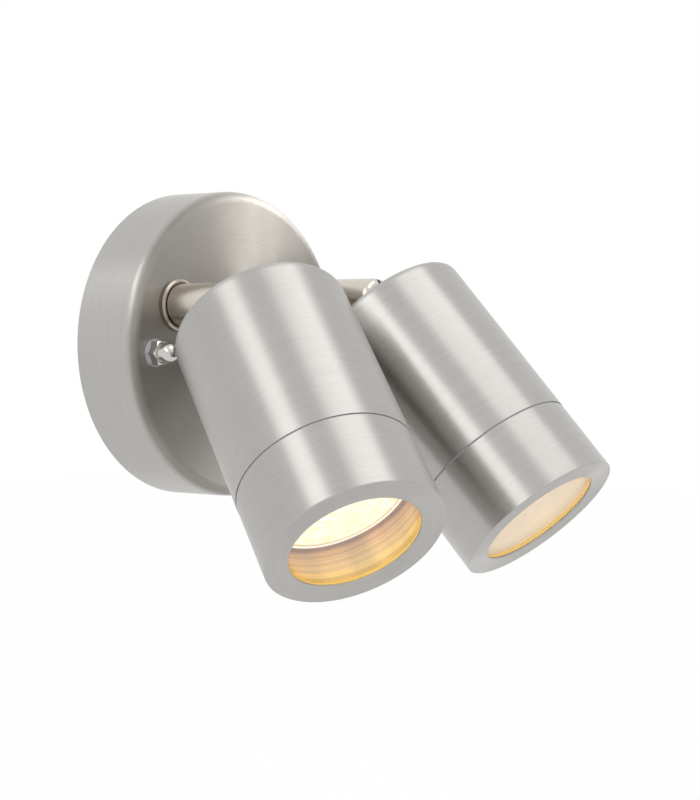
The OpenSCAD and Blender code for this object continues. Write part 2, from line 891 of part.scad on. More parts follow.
// Bent strip in the form of a hat: two feet on the can's back and a round seat on top.
module holder_bracket_shape() {
    leg_x = holder_d / 2 + hat_t;
    difference() {
        union() {
            disc(holder_d / 2, hat_top - hat_t, hat_top);
            rotate([90, 0, 0]) translate([0, 0, -hat_foot_w / 2]) linear_extrude(hat_foot_w) {
                for (side = [0, 1]) {
                    mirror([side, 0]) polygon([
                        [0, hat_top - hat_t],
                        [leg_x - hat_t, hat_top - hat_t],
                        [leg_x - hat_t, can_back],
                        [hat_end, can_back],
                        [hat_end, can_back + hat_t],
                        [leg_x, can_back + hat_t],
                        [leg_x, hat_top],
                        [0, hat_top]
                    ]);
                }
            }
        }
        at_holder_screws() disc(holder_screw_d / 2 + stack_gap, hat_top - hat_t - cut, hat_top + cut);
        at_feet() disc(holder_screw_d / 2 + stack_gap, can_back - cut, can_back + hat_t + cut);
        disc(nipple_bore_d / 2, hat_top - hat_t - cut, hat_top + cut);
    }
}

module holder_screws_shape() {
    at_holder_screws() {
        pan_screw(
            holder_screw_d, holder_head_d, holder_head_h,
            holder_front_at - 2 * holder_head_h, hat_top - hat_t
        );
    }
    at_feet() {
        pan_screw(holder_screw_d, holder_head_d, holder_head_h / 2, can_back + hat_t, can_back / 2);
    }
}

// One module for each node.

module canopy() { color("#a8a39c") wall_frame() canopy_shape(); }
module wall_bracket() { color("#b9bbbd") wall_frame() wall_bracket_shape(); }
module bracket_studs() { color("#c4c6c8") wall_frame() bracket_studs_shape(); }
module dome_nuts() { color("#d8d9db") wall_frame() dome_nuts_shape(); }
module sealing_washers() { color("#8f8b99") wall_frame() sealing_washers_shape(); }
module wall_seal() { color("#2b2b2c") wall_frame() wall_seal_shape(); }
module terminal_block() { color("#ecebe4") wall_frame() terminal_block_shape(); }
module terminal_barrels() { color("#c9a24a") wall_frame() terminal_barrels_shape(); }
module terminal_screws() { color("#c2c3c6") wall_frame() terminal_screws_shape(); }
module earth_screw() { color("#c9a24a") wall_frame() earth_screw_shape(); }
module arm_bushes() { color("#a39d95") wall_frame() arm_bushes_shape(); }
module bush_nuts() { color("#b5b6b8") wall_frame() bush_nuts_shape(); }

module near_arm() { color("#aca69d") near_arm_frame() arm_shape(); }
module near_stem_washer() { color("#b5b6b8") near_arm_frame() stem_washer_shape(); }
module near_stem_nut() { color("#b5b6b8") near_arm_frame() stem_nut_shape(); }
module near_pivot_screw() { color("#c4c6c8") near_arm_frame() pivot_screw_shape(); }
module near_friction_washer() { color("#e4e2da") near_arm_frame() friction_washer_shape(); }

module near_head_can() { color("#bdbcb8") near_head_frame() head_can_shape(); }
module near_knuckle() { color("#aca69d") near_head_frame() knuckle_shape(); }
module near_knuckle_nut() { color("#b5b6b8") near_head_frame() knuckle_nut_shape(); }
module near_threaded_sleeve() { color("#c9bfa8") near_head_frame() threaded_sleeve_shape(); }
module near_seam_seal() { color("#4a4a4c") near_head_frame() seam_seal_shape(); }
module near_lampholder() { color("#f0ede4") near_head_frame() lampholder_shape(); }
module near_holder_bracket() { color("#b9bbbd") near_head_frame() holder_bracket_shape(); }
module near_holder_screws() { color("#c2c3c6") near_head_frame() holder_screws_shape(); }
module near_glass() { color("#dfe9e8", 0.35) near_head_frame() glass_shape(); }
module near_glass_gasket() { color("#e0c27a") near_head_frame() glass_gasket_shape(); }
module near_front_ring() { color("#bdbcb8") near_head_frame() front_ring_shape(); }
module near_lamp_body() { color("#e9e4d8") near_head_frame() lamp_body_shape(); }
module near_lamp_lens() { color("#fff3d0") near_head_frame() lamp_lens_shape(); }
module near_lamp_base() { color("#f4f2ec") near_head_frame() lamp_base_shape(); }

module far_arm() { color("#aca69d") far_arm_frame() arm_shape(); }
module far_stem_washer() { color("#b5b6b8") far_arm_frame() stem_washer_shape(); }
module far_stem_nut() { color("#b5b6b8") far_arm_frame() stem_nut_shape(); }
module far_pivot_screw() { color("#c4c6c8") far_arm_frame() pivot_screw_shape(); }
module far_friction_washer() { color("#e4e2da") far_arm_frame() friction_washer_shape(); }

module far_head_can() { color("#bdbcb8") far_head_frame() head_can_shape(); }
module far_knuckle() { color("#aca69d") far_head_frame() knuckle_shape(); }
module far_knuckle_nut() { color("#b5b6b8") far_head_frame() knuckle_nut_shape(); }
module far_threaded_sleeve() { color("#c9bfa8") far_head_frame() threaded_sleeve_shape(); }
module far_seam_seal() { color("#4a4a4c") far_head_frame() seam_seal_shape(); }
module far_lampholder() { color("#f0ede4") far_head_frame() lampholder_shape(); }
module far_holder_bracket() { color("#b9bbbd") far_head_frame() holder_bracket_shape(); }
module far_holder_screws() { color("#c2c3c6") far_head_frame() holder_screws_shape(); }
module far_glass() { color("#dfe9e8", 0.35) far_head_frame() glass_shape(); }
module far_glass_gasket() { color("#e0c27a") far_head_frame() glass_gasket_shape(); }
module far_front_ring() { color("#bdbcb8") far_head_frame() front_ring_shape(); }
module far_lamp_body() { color("#e9e4d8") far_head_frame() lamp_body_shape(); }
module far_lamp_lens() { color("#fff3d0") far_head_frame() lamp_lens_shape(); }
module far_lamp_base() { color("#f4f2ec") far_head_frame() lamp_base_shape(); }

canopy();
wall_bracket();
bracket_studs();
dome_nuts();
sealing_washers();
wall_seal();
terminal_block();
terminal_barrels();
terminal_screws();
earth_screw();
arm_bushes();
bush_nuts();
near_arm();
near_stem_washer();
near_stem_nut();
near_pivot_screw();
near_friction_washer();
near_head_can();
near_knuckle();
near_knuckle_nut();
near_threaded_sleeve();
near_seam_seal();
near_lampholder();
near_holder_bracket();
near_holder_screws();
near_glass();
near_glass_gasket();
near_front_ring();
near_lamp_body();
near_lamp_lens();
near_lamp_base();
far_arm();
far_stem_washer();
far_stem_nut();
far_pivot_screw();
far_friction_washer();
far_head_can();
far_knuckle();
far_knuckle_nut();
far_threaded_sleeve();
far_seam_seal();
far_lampholder();
far_holder_bracket();
far_holder_screws();
far_glass();
far_glass_gasket();
far_front_ring();
far_lamp_body();
far_lamp_lens();
far_lamp_base();
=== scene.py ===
import json
import math

import bmesh
import bpy
from mathutils import Matrix, Vector


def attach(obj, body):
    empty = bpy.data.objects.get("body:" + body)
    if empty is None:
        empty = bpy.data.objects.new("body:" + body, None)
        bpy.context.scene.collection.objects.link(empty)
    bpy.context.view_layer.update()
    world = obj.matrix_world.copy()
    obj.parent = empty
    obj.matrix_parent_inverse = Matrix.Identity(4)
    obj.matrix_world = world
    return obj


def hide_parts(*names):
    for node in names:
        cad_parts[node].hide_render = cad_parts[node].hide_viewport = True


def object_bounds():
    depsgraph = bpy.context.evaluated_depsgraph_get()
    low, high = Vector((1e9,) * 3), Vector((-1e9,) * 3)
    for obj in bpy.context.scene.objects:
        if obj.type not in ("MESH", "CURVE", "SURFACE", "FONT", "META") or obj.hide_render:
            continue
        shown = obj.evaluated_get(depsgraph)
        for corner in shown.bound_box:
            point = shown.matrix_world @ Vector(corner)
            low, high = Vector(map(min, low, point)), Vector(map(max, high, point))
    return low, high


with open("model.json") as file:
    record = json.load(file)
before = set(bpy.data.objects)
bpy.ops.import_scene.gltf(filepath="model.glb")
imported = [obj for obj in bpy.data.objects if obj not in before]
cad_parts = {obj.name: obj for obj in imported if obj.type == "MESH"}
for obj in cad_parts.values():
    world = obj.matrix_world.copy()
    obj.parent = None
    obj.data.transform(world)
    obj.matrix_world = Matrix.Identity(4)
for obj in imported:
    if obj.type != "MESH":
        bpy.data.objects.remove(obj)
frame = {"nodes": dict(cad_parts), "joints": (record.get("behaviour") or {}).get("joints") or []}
cad_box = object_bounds()

# Back plate: a round shell pressed from stainless sheet and brushed on a turntable, so that its grinding
# lines run in rings round its centre. The face is brushed more coarsely than the rim, which spreads its
# reflections, and its colour is darkened with painted shade. Two dome nuts hold it on the studs of the wall
# bracket.

MM = 0.001
OUT_OF_WALL = Vector((0, -1, 0))
PLATE_CENTRE = Vector((0, 0, 0))
BRUSHED_STEEL = "#bab8b4"
RIM_ROUGHNESS = 0.3
# The face's darker colour is painted shade.
FACE_STEEL_PAINTED_SHADE = "#9f9b95"
FACE_ROUGHNESS = 0.46
FACE_RADIUS = 54
FACE_BLEND = 1
# Real grinding lines are finer than 0.1 mm. They are drawn this wide so that they show.
LINE_WIDTH = 0.3
LINE_LENGTH = 15
LINE_DEPTH = 0.005
LINE_CONTRAST = 0.9
# The lines draw a reflection out across themselves, a quarter turn from the way that they run.
LINE_STRETCH = 0.85
ACROSS_THE_LINES = 0.25
BRUSHING_CLOUDS = 10.7


def linear(code):
    """Linear red, green, blue and alpha of an sRGB hex colour."""
    channels = [int(code[i : i + 2], 16) / 255 for i in (1, 3, 5)]
    return [c / 12.92 if c <= 0.04045 else ((c + 0.055) / 1.055) ** 2.4 for c in channels] + [1]


def add(material, kind, inputs=None, **settings):
    """Adds a node to a material, with its settings, and with values or other nodes' outputs on its inputs."""
    tree = material.node_tree
    new = tree.nodes.new("ShaderNode" + kind)
    for name, value in settings.items():
        setattr(new, name, value)
    for name, value in (inputs or {}).items():
        if isinstance(value, bpy.types.NodeSocket):
            tree.links.new(value, new.inputs[name])
        else:
            new.inputs[name].default_value = value
    return new


def start_material(name):
    material = bpy.data.materials.new(name)
    material.use_nodes = True
    material.node_tree.nodes.clear()
    return material


def end_material(material, shader):
    add(material, "OutputMaterial", {"Surface": shader.outputs[0]})
    return material


def finish_node(node, material):
    """Gives a part of the frame its finish."""
    mesh = frame["nodes"][node].data
    mesh.materials.clear()
    mesh.materials.append(material)


def ring_coordinates(material, centre, axis):
    """Where a point lies round an axis, in metres: the way across to it, its radius and its height along the
    axis. Around is the way round the axis at that point, which is the way that the rings run."""
    place = add(material, "TexCoord").outputs["Object"]
    out = add(material, "VectorMath", {0: place, 1: centre}, operation="SUBTRACT").outputs[0]
    height = add(material, "VectorMath", {0: out, 1: axis}, operation="DOT_PRODUCT").outputs["Value"]
    along = add(material, "VectorMath", {0: axis, "Scale": height}, operation="SCALE").outputs[0]
    across = add(material, "VectorMath", {0: out, 1: along}, operation="SUBTRACT").outputs[0]
    radius = add(material, "VectorMath", {0: across}, operation="LENGTH").outputs["Value"]
    turn = add(material, "VectorMath", {0: axis, 1: across}, operation="CROSS_PRODUCT").outputs[0]
    around = add(
        material,
        "VectorTransform",
        {0: turn},
        vector_type="VECTOR",
        convert_from="OBJECT",
        convert_to="WORLD",
    ).outputs[0]
    return {"across": across, "radius": radius, "height": height, "around": around}


def brushed_steel(name, centre, axis, colour, roughness, face=None):
    """Stainless steel brushed in rings: satin, with reflections drawn out across its fine lines. Where face
    is given, it is a colour darkened with painted shade and the roughness of a coarser brushing, and the
    radius that it reaches in mm."""
    material = start_material(name)
    ring = ring_coordinates(material, centre, axis)
    lengthwise = add(
        material, "VectorMath", {0: ring["across"], "Scale": 1 / (LINE_LENGTH * MM)}, operation="SCALE"
    ).outputs[0]
    # The lines follow the radius on a face and the height on a side, so their sum serves for both.
    out = add(material, "Math", {0: ring["radius"], 1: ring["height"]}, operation="ADD").outputs[0]
    places = add(material, "Math", {0: out, 1: 1 / (LINE_WIDTH * MM)}, operation="MULTIPLY").outputs[0]
    lines = add(
        material,
        "TexNoise",
        {"Vector": lengthwise, "W": places, "Scale": 1, "Detail": 3, "Roughness": 0.6},
        noise_dimensions="4D",
    ).outputs[0]
    clouds = add(
        material, "TexNoise", {"Vector": ring["across"], "Scale": 1 / (BRUSHING_CLOUDS * MM), "Detail": 2}
    ).outputs[0]
    bump = add(material, "Bump", {"Height": lines, "Distance": LINE_DEPTH * MM, "Strength": 1}).outputs[0]
    face_colour, face_roughness, face_radius = face or (colour, roughness, 0)
    outside = add(
        material,
        "MapRange",
        {
            "Value": ring["radius"],
            "From Min": face_radius * MM,
            "From Max": (face_radius + FACE_BLEND) * MM,
        },
    ).outputs[0]
    # Painted shade: inside its radius the face takes the darker colour.
    steel = add(
        material, "Mix", {"Factor": outside, "A": linear(face_colour), "B": linear(colour)}, data_type="RGBA"
    ).outputs["Result"]
    share = add(
        material, "MapRange", {"Value": lines, "From Min": 0.3, "From Max": 0.62, "To Min": LINE_CONTRAST}
    ).outputs[0]
    tone = add(material, "VectorMath", {0: steel, "Scale": share}, operation="SCALE").outputs[0]
    coarse = add(
        material, "MapRange", {"Value": outside, "To Min": face_roughness, "To Max": roughness}
    ).outputs[0]
    uneven = add(
        material,
        "MapRange",
        {"Value": clouds, "From Min": 0.3, "From Max": 0.7, "To Min": 0.92, "To Max": 1.08},
    ).outputs[0]
    satin = add(material, "Math", {0: coarse, 1: uneven}, operation="MULTIPLY").outputs[0]
    shader = add(
        material,
        "BsdfPrincipled",
        {
            "Base Color": tone,
            "Metallic": 1,
            "Roughness": satin,
            "Anisotropic": LINE_STRETCH,
            "Anisotropic Rotation": ACROSS_THE_LINES,
            "Tangent": ring["around"],
            "Normal": bump,
        },
    )
    return end_material(material, shader)


plate_steel = brushed_steel(
    "brushed_stainless_plate",
    PLATE_CENTRE,
    OUT_OF_WALL,
    BRUSHED_STEEL,
    RIM_ROUGHNESS,
    face=(FACE_STEEL_PAINTED_SHADE, FACE_ROUGHNESS, FACE_RADIUS),
)
finish_node("canopy", plate_steel)

# Arm bushes: two collars turned from stainless bar, each with a barrel through the plate. The lathe tool
# leaves rings without the brush's deep scratches, so the collars shine without a drawn-out reflection.

BUSH_STEEL = "#a49b92"
BUSH_ROUGHNESS = 0.3
joints = {joint["name"]: joint for joint in frame["joints"]}
far_swivel_at = Vector(joints["far_swivel"]["pos_m"])


def turned_collars(name, centre, colour, roughness):
    """Turned stainless for two like parts that mirror each other about the middle plane: fine even rings."""
    material = start_material(name)
    place = add(material, "TexCoord").outputs["Object"]
    folded = add(material, "VectorMath", {0: place}, operation="ABSOLUTE").outputs[0]
    out = add(material, "VectorMath", {0: folded, 1: centre}, operation="SUBTRACT").outputs[0]
    flat = add(material, "VectorMath", {0: out, 1: (1, 0, 1)}, operation="MULTIPLY").outputs[0]
    radius = add(material, "VectorMath", {0: flat}, operation="LENGTH").outputs["Value"]
    places = add(material, "Math", {0: radius, 1: 1 / (LINE_WIDTH * MM)}, operation="MULTIPLY").outputs[0]
    lines = add(
        material, "TexNoise", {"W": places, "Scale": 1, "Detail": 2}, noise_dimensions="1D"
    ).outputs[0]
    bump = add(material, "Bump", {"Height": lines, "Distance": LINE_DEPTH * MM, "Strength": 1}).outputs[0]
    shader = add(
        material,
        "BsdfPrincipled",
        {"Base Color": linear(colour), "Metallic": 1, "Roughness": roughness, "Normal": bump},
    )
    return end_material(material, shader)


bush_centre = Vector((far_swivel_at.x, 0, far_swivel_at.z))
bush_steel = turned_collars("turned_stainless_collars", bush_centre, BUSH_STEEL, BUSH_ROUGHNESS)
finish_node("arm_bushes", bush_steel)

# Dome nuts and their washers: two M5 nuts of polished stainless that hold the plate on its studs, and a
# satin washer under each that keeps the rain out.

NUT_STEEL = "#c9c6c3"
NUT_ROUGHNESS = 0.1
WASHER_STEEL = "#d6d2da"
WASHER_ROUGHNESS = 0.3
POLISHING_WAVES = 1.2
FAINT_DEPTH = 0.01


def polished_metal(name, colour, roughness):
    """Polished or finely turned metal: a mirror that its roughness softens, uneven in slow waves."""
    material = start_material(name)
    place = add(material, "TexCoord").outputs["Object"]
    waves = add(
        material, "TexNoise", {"Vector": place, "Scale": 1 / (POLISHING_WAVES * MM), "Detail": 3}
    ).outputs[0]
    bump = add(material, "Bump", {"Height": waves, "Distance": FAINT_DEPTH * MM, "Strength": 1}).outputs[0]
    satin = add(
        material, "MapRange", {"Value": waves, "To Min": roughness * 0.7, "To Max": roughness * 1.3}
    ).outputs[0]
    shader = add(
        material,
        "BsdfPrincipled",
        {"Base Color": linear(colour), "Metallic": 1, "Roughness": satin, "Normal": bump},
    )
    return end_material(material, shader)


finish_node("dome_nuts", polished_metal("polished_stainless_nuts", NUT_STEEL, NUT_ROUGHNESS))
finish_node("sealing_washers", polished_metal("satin_steel_washers", WASHER_STEEL, WASHER_ROUGHNESS))

# Wall bracket, studs and the nuts inside: pressed or drawn mild steel with a bright zinc plating, which is
# a little cloudy and shifts between grey and blue.

ZINC = "#b8babd"
ZINC_BLUE = "#a9b3c0"
ZINC_CLOUDS = 5
# The crystals of the plating are too small to see. They are drawn this large so that they show.
ZINC_GRAIN = 0.5


def zinc_plated(name):
    """Bright zinc plate: cloudy in tone, with a fine crystal grain."""
    material = start_material(name)
    place = add(material, "TexCoord").outputs["Object"]
    clouds = add(
        material, "TexNoise", {"Vector": place, "Scale": 1 / (ZINC_CLOUDS * MM), "Detail": 2}
    ).outputs[0]
    grain = add(material, "TexVoronoi", {"Vector": place, "Scale": 1 / (ZINC_GRAIN * MM)}).outputs["Distance"]
    bump = add(material, "Bump", {"Height": grain, "Distance": FAINT_DEPTH * MM, "Strength": 0.6}).outputs[0]
    tone = add(
        material, "Mix", {"Factor": clouds, "A": linear(ZINC), "B": linear(ZINC_BLUE)}, data_type="RGBA"
    ).outputs["Result"]
    satin = add(material, "MapRange", {"Value": clouds, "To Min": 0.22, "To Max": 0.42}).outputs[0]
    shader = add(
        material, "BsdfPrincipled", {"Base Color": tone, "Metallic": 1, "Roughness": satin, "Normal": bump}
    )
    return end_material(material, shader)


zinc = zinc_plated("bright_zinc_plated_steel")
for part in ("wall_bracket", "bracket_studs", "bush_nuts"):
    finish_node(part, zinc)

# Wall seal: a strip of closed-cell rubber foam that is glued behind the plate's rim. It is matt black, and
# its cells show as small pits.

FOAM_BLACK = "#2b2b2c"
FOAM_CELL = 0.5
FOAM_CELL_DEPTH = 0.1


def darker(code, share):
    """Linear colour of an sRGB hex colour that is brought down to a share of its light."""
    return [c * share for c in linear(code)[:3]] + [1]


def cell_rubber(name, colour, cell, depth):
    """Foamed or moulded rubber: a matt skin pitted by its cells, or by the grain of its mould."""
    material = start_material(name)
    place = add(material, "TexCoord").outputs["Object"]
    cells = add(material, "TexVoronoi", {"Vector": place, "Scale": 1 / (cell * MM)}).outputs["Distance"]
    bump = add(material, "Bump", {"Height": cells, "Distance": depth * MM, "Strength": 1}).outputs[0]
    tone = add(
        material, "Mix", {"Factor": cells, "A": darker(colour, 0.6), "B": linear(colour)}, data_type="RGBA"
    ).outputs["Result"]
    shader = add(material, "BsdfPrincipled", {"Base Color": tone, "Roughness": 0.85, "Normal": bump})
    return end_material(material, shader)


finish_node("wall_seal", cell_rubber("black_foam_rubber", FOAM_BLACK, FOAM_CELL, FOAM_CELL_DEPTH))

# Terminal block: white moulded nylon with brass barrels and zinc plated clamping screws, and the earth
# screw of brass on the bracket.

NYLON = "#ecebe4"
BRASS = "#c9a24a"
BRASS_ROUGHNESS = 0.25
# The grain of the mould is finer than 0.1 mm. It is drawn this large so that it shows.
MOULD_GRAIN = 0.4


def moulded_nylon(name, colour):
    """Moulded nylon: waxy and slightly grained by the mould."""
    material = start_material(name)
    place = add(material, "TexCoord").outputs["Object"]
    grain = add(
        material, "TexNoise", {"Vector": place, "Scale": 1 / (MOULD_GRAIN * MM), "Detail": 2}
    ).outputs[0]
    bump = add(material, "Bump", {"Height": grain, "Distance": FAINT_DEPTH * MM, "Strength": 0.7}).outputs[0]
    tone = add(
        material, "Mix", {"Factor": grain, "A": darker(colour, 0.95), "B": linear(colour)}, data_type="RGBA"
    ).outputs["Result"]
    shader = add(
        material, "BsdfPrincipled", {"Base Color": tone, "Roughness": 0.42, "IOR": 1.53, "Normal": bump}
    )
    return end_material(material, shader)


finish_node("terminal_block", moulded_nylon("moulded_white_nylon", NYLON))
brass = polished_metal("turned_brass", BRASS, BRASS_ROUGHNESS)
finish_node("terminal_barrels", brass)
finish_node("earth_screw", brass)
finish_node("terminal_screws", zinc)

# Arms: two bars turned from stainless, each with a stem that turns in its bush and a half lap at the
# pivot. A zinc plated washer and nut hold the stem behind the plate.

SIDES = ("near", "far")
ARM_STEEL = "#d6cec2"
ARM_ROUGHNESS = 0.2

for side in SIDES:
    swivel_at = Vector(joints[f"{side}_swivel"]["pos_m"])
    arm_steel = brushed_steel(
        f"turned_stainless_{side}_arm", swivel_at, OUT_OF_WALL, ARM_STEEL, ARM_ROUGHNESS
    )
    finish_node(f"{side}_arm", arm_steel)
    finish_node(f"{side}_stem_washer", zinc)
    finish_node(f"{side}_stem_nut", zinc)

# Knuckles: the head's half of the lap, turned and milled from the same bar, with its hollow nipple and
# nut, the socket screw through the pivot and a nylon washer that gives the tilt its friction.

KNUCKLE_ROUGHNESS = 0.24
SCREW_ROUGHNESS = 0.2
# A front ring screws off along its head's axis, and that joint's place is the pivot of the head.
head_at = {side: Vector(joints[f"{side}_ring_turn"]["pos_m"]) for side in SIDES}
head_axis = {side: Vector(joints[f"{side}_ring_turn"]["axis"]) for side in SIDES}

for side in SIDES:
    knuckle_steel = brushed_steel(
        f"turned_stainless_{side}_knuckle", head_at[side], head_axis[side], ARM_STEEL, KNUCKLE_ROUGHNESS
    )
    screw_steel = polished_metal(f"stainless_screw_{side}", NUT_STEEL, SCREW_ROUGHNESS)
    finish_node(f"{side}_knuckle", knuckle_steel)
    finish_node(f"{side}_knuckle_nut", zinc)
    finish_node(f"{side}_pivot_screw", screw_steel)
    finish_node(f"{side}_friction_washer", moulded_nylon(f"white_nylon_washer_{side}", NYLON))

# Heads: cans drawn from stainless sheet and brushed on their axis, so that light runs down them in long
# bands. The front ring carries the same finish on, and its flat lip is brushed as well.

HEAD_ROUGHNESS = 0.36

for side in SIDES:
    head_steel = brushed_steel(
        f"brushed_stainless_{side}_head", head_at[side], head_axis[side], BRUSHED_STEEL, HEAD_ROUGHNESS
    )
    finish_node(f"{side}_head_can", head_steel)
    finish_node(f"{side}_front_ring", head_steel)

# Threaded sleeves: turned aluminium, held in the can and threaded in front of the seam for the ring. The
# bore's colour is painted light: a pale gold for the lamp's warm light, going over to a painted pinkish brown
# shade at the lamp's rim, and the thread outside is bare metal. The seal in the seam is a flat ring of grey
# rubber.

SLEEVE_PAINTED_LAMPLIGHT = "#fbd67a"
SLEEVE_PAINTED_SHADE = "#cf9c78"
BARE_ALUMINIUM = "#c3c2c0"
SLEEVE_ROUGHNESS = 0.36
BARE_FROM = 28
# The painted lamplight starts and is full this far in front of the lamp's rim, with painted shade nearer the
# rim. The rings bring it back by up to the waver.
PAINTED_LAMPLIGHT_FROM = 3.7
PAINTED_LAMPLIGHT_FULL = 15.7
PAINTED_LAMPLIGHT_WAVER = 9
PAINTED_LIGHT_PATCHES = 11
# The tool's rings are about 0.2 mm apart. They are drawn this wide so that they show through the glass.
TURNING_RINGS = 2.2
RING_DEPTH = 0.05
RING_CONTRAST = 0.78


def turned_aluminium(name, centre, axis, rim):
    """Turned aluminium with the rings that the tool leaves: painted warm lamplight in the bore in front of
    the lamp's rim, painted brown shade behind it, and bare outside. The painted light lies in long soft
    patches along the bore, as the lens throws it."""
    material = start_material(name)
    ring = ring_coordinates(material, centre, axis)
    places = add(
        material, "Math", {0: ring["height"], 1: 1 / (TURNING_RINGS * MM)}, operation="MULTIPLY"
    ).outputs[0]
    grooves = add(
        material,
        "TexNoise",
        {"W": places, "Scale": 1, "Detail": 3, "Roughness": 0.7},
        noise_dimensions="1D",
    ).outputs[0]
    bump = add(material, "Bump", {"Height": grooves, "Distance": RING_DEPTH * MM, "Strength": 1}).outputs[0]
    banded = add(
        material, "Math", {0: grooves, 1: PAINTED_LAMPLIGHT_WAVER * MM, 2: ring["height"]}, operation="MULTIPLY_ADD"
    ).outputs[0]
    # Painted light and shade: gold where the lamp's warm light falls, brown towards the lamp's rim.
    painted_lamplight = add(
        material,
        "MapRange",
        {"Value": banded, "From Min": (rim + PAINTED_LAMPLIGHT_FROM) * MM, "From Max": (rim + PAINTED_LAMPLIGHT_FULL) * MM},
    ).outputs[0]
    bore = add(
        material,
        "Mix",
        {"Factor": painted_lamplight, "A": linear(SLEEVE_PAINTED_SHADE), "B": linear(SLEEVE_PAINTED_LAMPLIGHT)},
        data_type="RGBA",
    ).outputs["Result"]
    outside = add(
        material, "Math", {0: ring["radius"], 1: BARE_FROM * MM}, operation="GREATER_THAN"
    ).outputs[0]
    even = add(
        material, "Mix", {"Factor": outside, "A": bore, "B": linear(BARE_ALUMINIUM)}, data_type="RGBA"
    ).outputs["Result"]
    dark = add(material, "MapRange", {"Value": grooves, "From Min": 0.58, "From Max": 0.42}).outputs[0]
    tone = add(
        material,
        "Mix",
        {"Factor": dark, "A": even, "B": [RING_CONTRAST] * 3 + [1]},
        data_type="RGBA",
        blend_type="MULTIPLY",
    ).outputs["Result"]
    # Painted light: the lens's light thrown down the bore in long soft patches that brighten and darken the
    # colour.
    painted_light_streaks = add(
        material, "TexNoise", {"Vector": ring["across"], "Scale": 1 / (PAINTED_LIGHT_PATCHES * MM), "Detail": 1}
    ).outputs[0]
    painted_light_patches = add(
        material,
        "MapRange",
        {"Value": painted_light_streaks, "From Min": 0.35, "From Max": 0.65, "To Min": 0.8, "To Max": 1.2},
    ).outputs[0]
    uneven = add(material, "VectorMath", {0: tone, "Scale": painted_light_patches}, operation="SCALE").outputs[0]
    shader = add(
        material,
        "BsdfPrincipled",
        {
            "Base Color": uneven,
            "Metallic": 1,
            "Roughness": SLEEVE_ROUGHNESS,
            "Anisotropic": 0.7,
            "Anisotropic Rotation": ACROSS_THE_LINES,
            "Tangent": ring["around"],
            "Normal": bump,
        },
    )
    return end_material(material, shader)


# The thread starts a small gap in front of the seal, and runs out to nothing in a part of a turn.
THREAD_PITCH = 2
THREAD_TURNS = 4.1
THREAD_GAP = 0.6
THREAD_SUNK = 0.2
THREAD_PROUD = 0.02
THREAD_FOOT = 1.6
THREAD_TOP = 0.4
THREAD_RUN_OUT = 0.25
STEPS_A_TURN = 72


def reach(node, at, axis):
    """How far a part of the frame reaches along an axis and out from it, in mm."""
    heights = []
    radii = []
    for corner in frame["nodes"][node].data.vertices:
        out = corner.co - at
        height = out.dot(axis)
        heights.append(height / MM)
        radii.append((out - axis * height).length / MM)
    return {"back": min(heights), "front": max(heights), "bore": min(radii), "radius": max(radii)}


def loop_at(shape, centre, axis, turn, outline):
    """Corners of an outline, given as radii from an axis and heights along it in mm, at an angle round it."""
    across = axis.orthogonal().normalized()
    out = across * math.cos(turn) + axis.cross(across) * math.sin(turn)
    return [shape.verts.new(centre + (out * radius + axis * height) * MM) for radius, height in outline]


def skin(shape, here, following, smooth):
    """Covers the space between two like loops of corners with faces."""
    for i in range(len(here)):
        j = (i + 1) % len(here)
        face = shape.faces.new((here[i], here[j], following[j], following[i]))
        face.smooth = smooth


def make_piece(name, shape, material):
    """Makes a piece of the scene from a finished mesh, and gives it its finish."""
    mesh = bpy.data.meshes.new(name)
    shape.to_mesh(mesh)
    shape.free()
    mesh.materials.append(material)
    piece = bpy.data.objects.new(name, mesh)
    bpy.context.scene.collection.objects.link(piece)
    return piece


def thread_ridge(centre, axis, start, sleeve_radius):
    """Mesh of a ridge that winds round the sleeve. Its foot is sunk in the sleeve, and its crest stands so
    little proud that it clears the ring's bore."""
    root = sleeve_radius - THREAD_SUNK
    full_crest = sleeve_radius + THREAD_PROUD
    steps = int(THREAD_TURNS * STEPS_A_TURN)
    run_out = THREAD_RUN_OUT * STEPS_A_TURN
    shape = bmesh.new()
    loops = []
    for step in range(steps + 1):
        along = start + THREAD_PITCH * step / STEPS_A_TURN
        crest = root + (full_crest - root) * min(1, step / run_out, (steps - step) / run_out)
        profile = [
            (root, along - THREAD_FOOT / 2),
            (crest, along - THREAD_TOP / 2),
            (crest, along + THREAD_TOP / 2),
            (root, along + THREAD_FOOT / 2),
        ]
        loops.append(loop_at(shape, centre, axis, math.tau * step / STEPS_A_TURN, profile))
    for here, following in zip(loops, loops[1:]):
        skin(shape, here, following, smooth=False)
    shape.faces.new(loops[0])
    shape.faces.new(reversed(loops[-1]))
    bmesh.ops.recalc_face_normals(shape, faces=shape.faces)
    return shape


SEAL_GREY = "#c9cacd"
# The grain of the seal's skin is finer than this. It is drawn as coarse as it needs to show.
SEAL_GRAIN = 0.3
seal_rubber = cell_rubber("grey_seal_rubber", SEAL_GREY, SEAL_GRAIN, FAINT_DEPTH)
lamp_rim = {side: reach(f"{side}_lamp_body", head_at[side], head_axis[side])["front"] for side in SIDES}

for side in SIDES:
    at = head_at[side]
    axis = head_axis[side]
    sleeve_metal = turned_aluminium(f"turned_aluminium_{side}", at, axis, lamp_rim[side])
    finish_node(f"{side}_threaded_sleeve", sleeve_metal)
    finish_node(f"{side}_seam_seal", seal_rubber)
    thread_start = reach(f"{side}_seam_seal", at, axis)["front"] + THREAD_GAP
    sleeve_radius = reach(f"{side}_threaded_sleeve", at, axis)["radius"]
    ridge_shape = thread_ridge(at, axis, thread_start, sleeve_radius)
    ridge = make_piece(f"{side}_thread_ridge", ridge_shape, sleeve_metal)
    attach(ridge, f"{side}_head")

# Lamp holders: glazed steatite ceramic on a bent bracket of zinc plated steel, with zinc plated screws.
# The glaze pools a little in the firing, which leaves slow waves in the gloss.

CERAMIC = "#efece3"
GLAZE_WAVES = 2.5
GLAZE_DEPTH = 0.02


